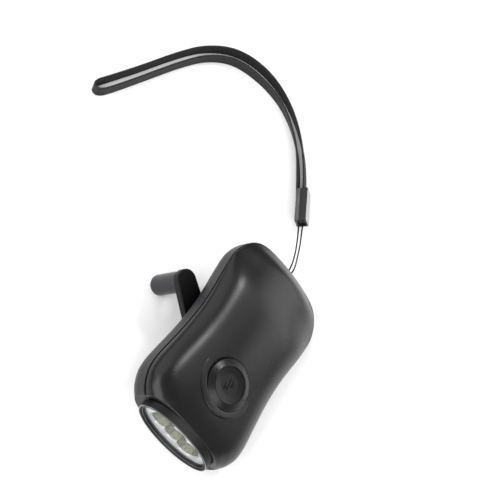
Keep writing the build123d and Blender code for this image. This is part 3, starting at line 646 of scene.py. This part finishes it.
for ring, d in ((rings[0], 1), (rings[-1], -1)):
    inner = []
    base = len(verts)
    cen = sum((verts[i] for i in ring), Vector()) / len(ring)
    for i in ring:
        verts.append(cen + (verts[i] - cen) * 0.80 + ax * (0.0))
    deep = len(verts)
    for i in ring:
        verts.append(cen + (verts[i] - cen) * 0.78 + ax * (d * 0.8 * MM))
    n_ = len(ring)
    for k in range(n_):
        k2 = (k + 1) % n_
        faces.append((ring[k], ring[k2], base + k2, base + k))
        faces.append((base + k, base + k2, deep + k2, deep + k))
    faces.append(tuple(deep + k for k in range(n_)))
ferrule = make("strap_crimp", verts, faces, FERRULE, angle=40)
ferrule.data.materials.append(FERRULE_PAINTED_REFLECTION)
ferrule.data.materials.append(FERRULE_PAINTED_SHADE)
for f in ferrule.data.polygons:
    # faces toward ss get the lighter copy: a painted reflection of the bright surroundings
    if f.normal.dot(ss) > 0.6:
        f.material_index = 1
    # the recessed ends and most of the top get the darker copy: painted shade
    elif abs(f.normal.dot(ax)) > 0.7 or (f.normal.dot(hh) > 0.6 and (f.center - fc).dot(ss) > painted_shade_from):
        f.material_index = 2

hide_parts("strap_cord")
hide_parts("strap_band")
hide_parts("strap_ferrule")
for o in (cord, band, ferrule):
    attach(o, "case")
tuple(v * MM for v in CORD[0])
tuple(centres[0])
[tuple(c) for c in centres]

# ---------------------------------------------------------------- reflector and LEDs
RA, RB, RC = 17.75, 8.75, -1.1
LEDW, LEDN = (-8.1, 0.0, 8.1), -1.4
U0 = 44.25


def cup(w, n):
    """how far behind the reflector's front a point is, mm"""
    best = 0.0
    for c in LEDW:
        dx, dy = w - c, (n - LEDN)
        r = math.hypot(dx, dy)
        a = math.atan2(dy, dx)
        rim = 5.35 + 0.16 * abs(math.cos(4.5 * a))
        if r < rim:
            d = 5.0 * (1 - (max(r, 2.75) / rim) ** 2) + 0.25
            d += 0.10 * math.cos(14 * a) * min(1, (rim - r))
            best = max(best, d)
    return best


verts, faces, idx = [], [], {}
step = 0.16
nw, nn = int(RA / step) + 1, int(RB / step) + 1
for i in range(-nw, nw + 1):
    for j in range(-nn, nn + 1):
        w, n_ = i * step, j * step
        e = math.hypot(w / RA, n_ / RB)
        if e > 1.02:
            continue
        if e > 1:
            w, n_ = w / e, n_ / e
        n_ += RC
        hole = min(math.hypot(w - c, n_ - LEDN) for c in LEDW)
        if hole < 2.62:
            continue
        near_rim = min(math.hypot(w - c, n_ - LEDN) - 5.51 for c in LEDW)
        lip = -0.28 * math.exp(-(near_rim / 0.22) ** 2) if cup(w, n_) < 0.4 else 0.0
        idx[(i, j)] = len(verts)
        verts.append(B(U0 - cup(w, n_) - lip, w, n_))
for (i, j), a in idx.items():
    q = [idx.get((i + 1, j)), idx.get((i + 1, j + 1)), idx.get((i, j + 1))]
    if None not in q:
        faces.append((a, q[0], q[1], q[2]))
reflector = make("reflector_dish", verts, faces, MIRROR, angle=38)
reflector.data.materials.append(CUP)
flat_u = B(U0 - 0.45, 0, 0).y
for f in reflector.data.polygons:
    if f.center.y > flat_u:
        f.material_index = 1
sol = reflector.modifiers.new("thick", "SOLIDIFY")
sol.thickness = 0.0004
sol.offset = -1 if reflector.data.polygons[0].normal.dot(D(1, 0, 0)) > 0 else 1
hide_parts("reflector")
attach(reflector, "case")

# thin clear lens in front of the dish
verts, faces = [], []
K = 96
for u, a, b in ((44.45, 17.9, 8.85), (44.45, 18.05, 9.0), (44.80, 18.05, 9.0), (44.85, 17.9, 8.85)):
    verts += [B(u, a * math.cos(2 * math.pi * i / K), b * math.sin(2 * math.pi * i / K) - 1.15) for i in range(K)]
for r in range(3):
    faces += [(r * K + i, r * K + (i + 1) % K, (r + 1) * K + (i + 1) % K, (r + 1) * K + i) for i in range(K)]
faces += [tuple(range(K)), tuple(reversed(range(3 * K, 4 * K)))]
lens = make("front_lens", verts, faces, CLEAR, angle=30)
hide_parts("lens")
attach(lens, "case")

domes, chips = [], []
for k, c in enumerate(LEDW):
    def at(r, a, h, c=c):
        return B(h, c + r * math.cos(a), LEDN + r * math.sin(a))
    prof = [(0, 36.5), (2.9, 36.5), (2.9, 37.45), (2.45, 37.5), (2.45, 40.3)]
    prof += [(2.45 * math.cos(math.radians(t)), 40.3 + 2.45 * math.sin(math.radians(t))) for t in (12, 24, 36, 48, 60, 72, 81)] + [(0, 42.75)]
    domes.append(lathe("led_%d_dome" % (k + 1), prof, at, DOME, seg=40, angle=40))
    prof = [(0, 38.4), (1.9, 38.4), (2.15, 39.6), (2.2, 40.25), (1.95, 40.3), (1.6, 39.9), (0.9, 39.95), (0, 40.15)]
    chips.append(lathe("led_%d_chip" % (k + 1), prof, at, PHOSPHOR, seg=28, angle=40))
for o in domes + chips:
    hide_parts("leds")
    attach(o, "case")

# ---------------------------------------------------------------- fine beads on the bezel's lip
def bead(name, u, a, b, c, r, mat):
    verts, faces = [], []
    K, Q = 96, 8
    for i in range(K):
        t = 2 * math.pi * i / K
        cw, cn = a * math.cos(t), b * math.sin(t) + c
        ow, on = b * math.cos(t), a * math.sin(t)
        L_ = math.hypot(ow, on)
        for j in range(Q):
            q = 2 * math.pi * j / Q
            verts.append(B(u + r * math.sin(q), cw + r * math.cos(q) * ow / L_, cn + r * math.cos(q) * on / L_))
    for i in range(K):
        for j in range(Q):
            faces.append((i * Q + j, ((i + 1) % K) * Q + j, ((i + 1) % K) * Q + (j + 1) % Q, i * Q + (j + 1) % Q))
    o = make(name, verts, faces, mat)
    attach(o, "case")
    return o


# both beads are lighter grey than the black bezel: painted highlight on the lip's rounded edges
bead("bezel_edge_bead", 46.12, 19.42, 10.38, -1.45, 0.26, RIM)
bead("bezel_inner_bead", 45.72, 18.28, 9.22, -1.33, 0.20, RIM2)

# ---------------------------------------------------------------- button's centre ribs, and pin holes drawn as dark caps with painted shade
marks = []
for k, (du, dw, ln) in enumerate(((1.45, -1.3, 3.2), (0.0, 0.0, 4.6), (-1.45, 1.3, 3.2))):
    bm = box_bm((ln * MM, 0.85 * MM, 0.40 * MM), 0.12 * MM)
    me = bpy.data.meshes.new("button_rib_%d" % k)
    bm.to_mesh(me)
    bm.free()
    for p_ in me.polygons:
        p_.use_smooth = True
    me.materials.append(MARK)
    ex, ey, ez = D(-0.99, -0.11, 0).normalized(), None, D(0, 0, 1)
    ey = ez.cross(ex)
    mm = Matrix.Identity(4)
    at_ = B(BU + du, dw, 11.15 + 0.12)
    for i in range(3):
        mm[i][0], mm[i][1], mm[i][2], mm[i][3] = ex[i], ey[i], ez[i], at_[i]
    me.transform(mm)
    o = bpy.data.objects.new("button_rib_%d" % k, me)
    bpy.context.scene.collection.objects.link(o)
    marks.append(o)
for k, sgn in enumerate((-1, 1)):
    a0 = math.radians(90)
    cu_, cw_ = BU + sgn * 9.0 * math.cos(a0), sgn * 9.0 * math.sin(a0)

    def at(r, a, h, cu_=cu_, cw_=cw_):
        return B(cu_ + r * math.cos(a), cw_ + r * math.sin(a), h)
    # each pin hole is a shallow cap on the surface; its darkness is the painted shade of a hole
    marks.append(lathe("button_pin_hole_%d" % k, [(0, 11.3), (0.34, 11.3), (0.36, 11.62), (0.30, 11.66), (0.24, 11.6), (0, 11.58)], at, HOLE_SHADE, seg=20))
for o in marks:
    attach(o, "button")

# ---------------------------------------------------------------- floor and light
fl = make("floor", [(-3, -3, 0), (3, -3, 0), (3, 3, 0), (-3, 3, 0)], [(0, 1, 2, 3)],
          moulded("floor_paper", (0.86, 0.86, 0.86), 0.9, grain=60, bump=0.0, vary=0.004, spec=0.1))

world = bpy.data.worlds.new("studio")
bpy.context.scene.world = world
world.use_nodes = True
world.node_tree.nodes["Background"].inputs["Color"].default_value = (1, 1, 1, 1)
world.node_tree.nodes["Background"].inputs["Strength"].default_value = 0.25


def area(name, loc, target, sx, sy, power, color=(1, 1, 1)):
    li = bpy.data.lights.new(name, "AREA")
    li.shape = "RECTANGLE"
    li.size, li.size_y = sx, sy
    li.energy = power
    li.color = color
    ob = bpy.data.objects.new(name, li)
    bpy.context.scene.collection.objects.link(ob)
    ob.location = loc
    ob.rotation_euler = (Vector(target) - Vector(loc)).to_track_quat("-Z", "Y").to_euler()
    return ob


MID = Vector((0, 0, 0.02))
area("key", (0.13, 0.61, 0.80), MID, 0.18, 0.14, 2.5)
area("key_side", (0.42, 0.60, 0.72), MID, 0.30, 0.30, 0.4)
area("glow_right", (0.80, 0.86, 0.40), MID, 0.7, 0.62, 3.2)
area("front_left", (-0.75, -0.95, 1.05), MID, 1.5, 1.3, 23)
area("front_right", (0.80, -0.90, 1.05), MID, 1.5, 1.3, 23)
area("fill_back_left", (-0.95, 0.35, 0.95), MID, 1.5, 1.3, 9)

bpy.context.scene.view_settings.view_transform = "Standard"
bpy.context.scene.view_settings.look = "None"
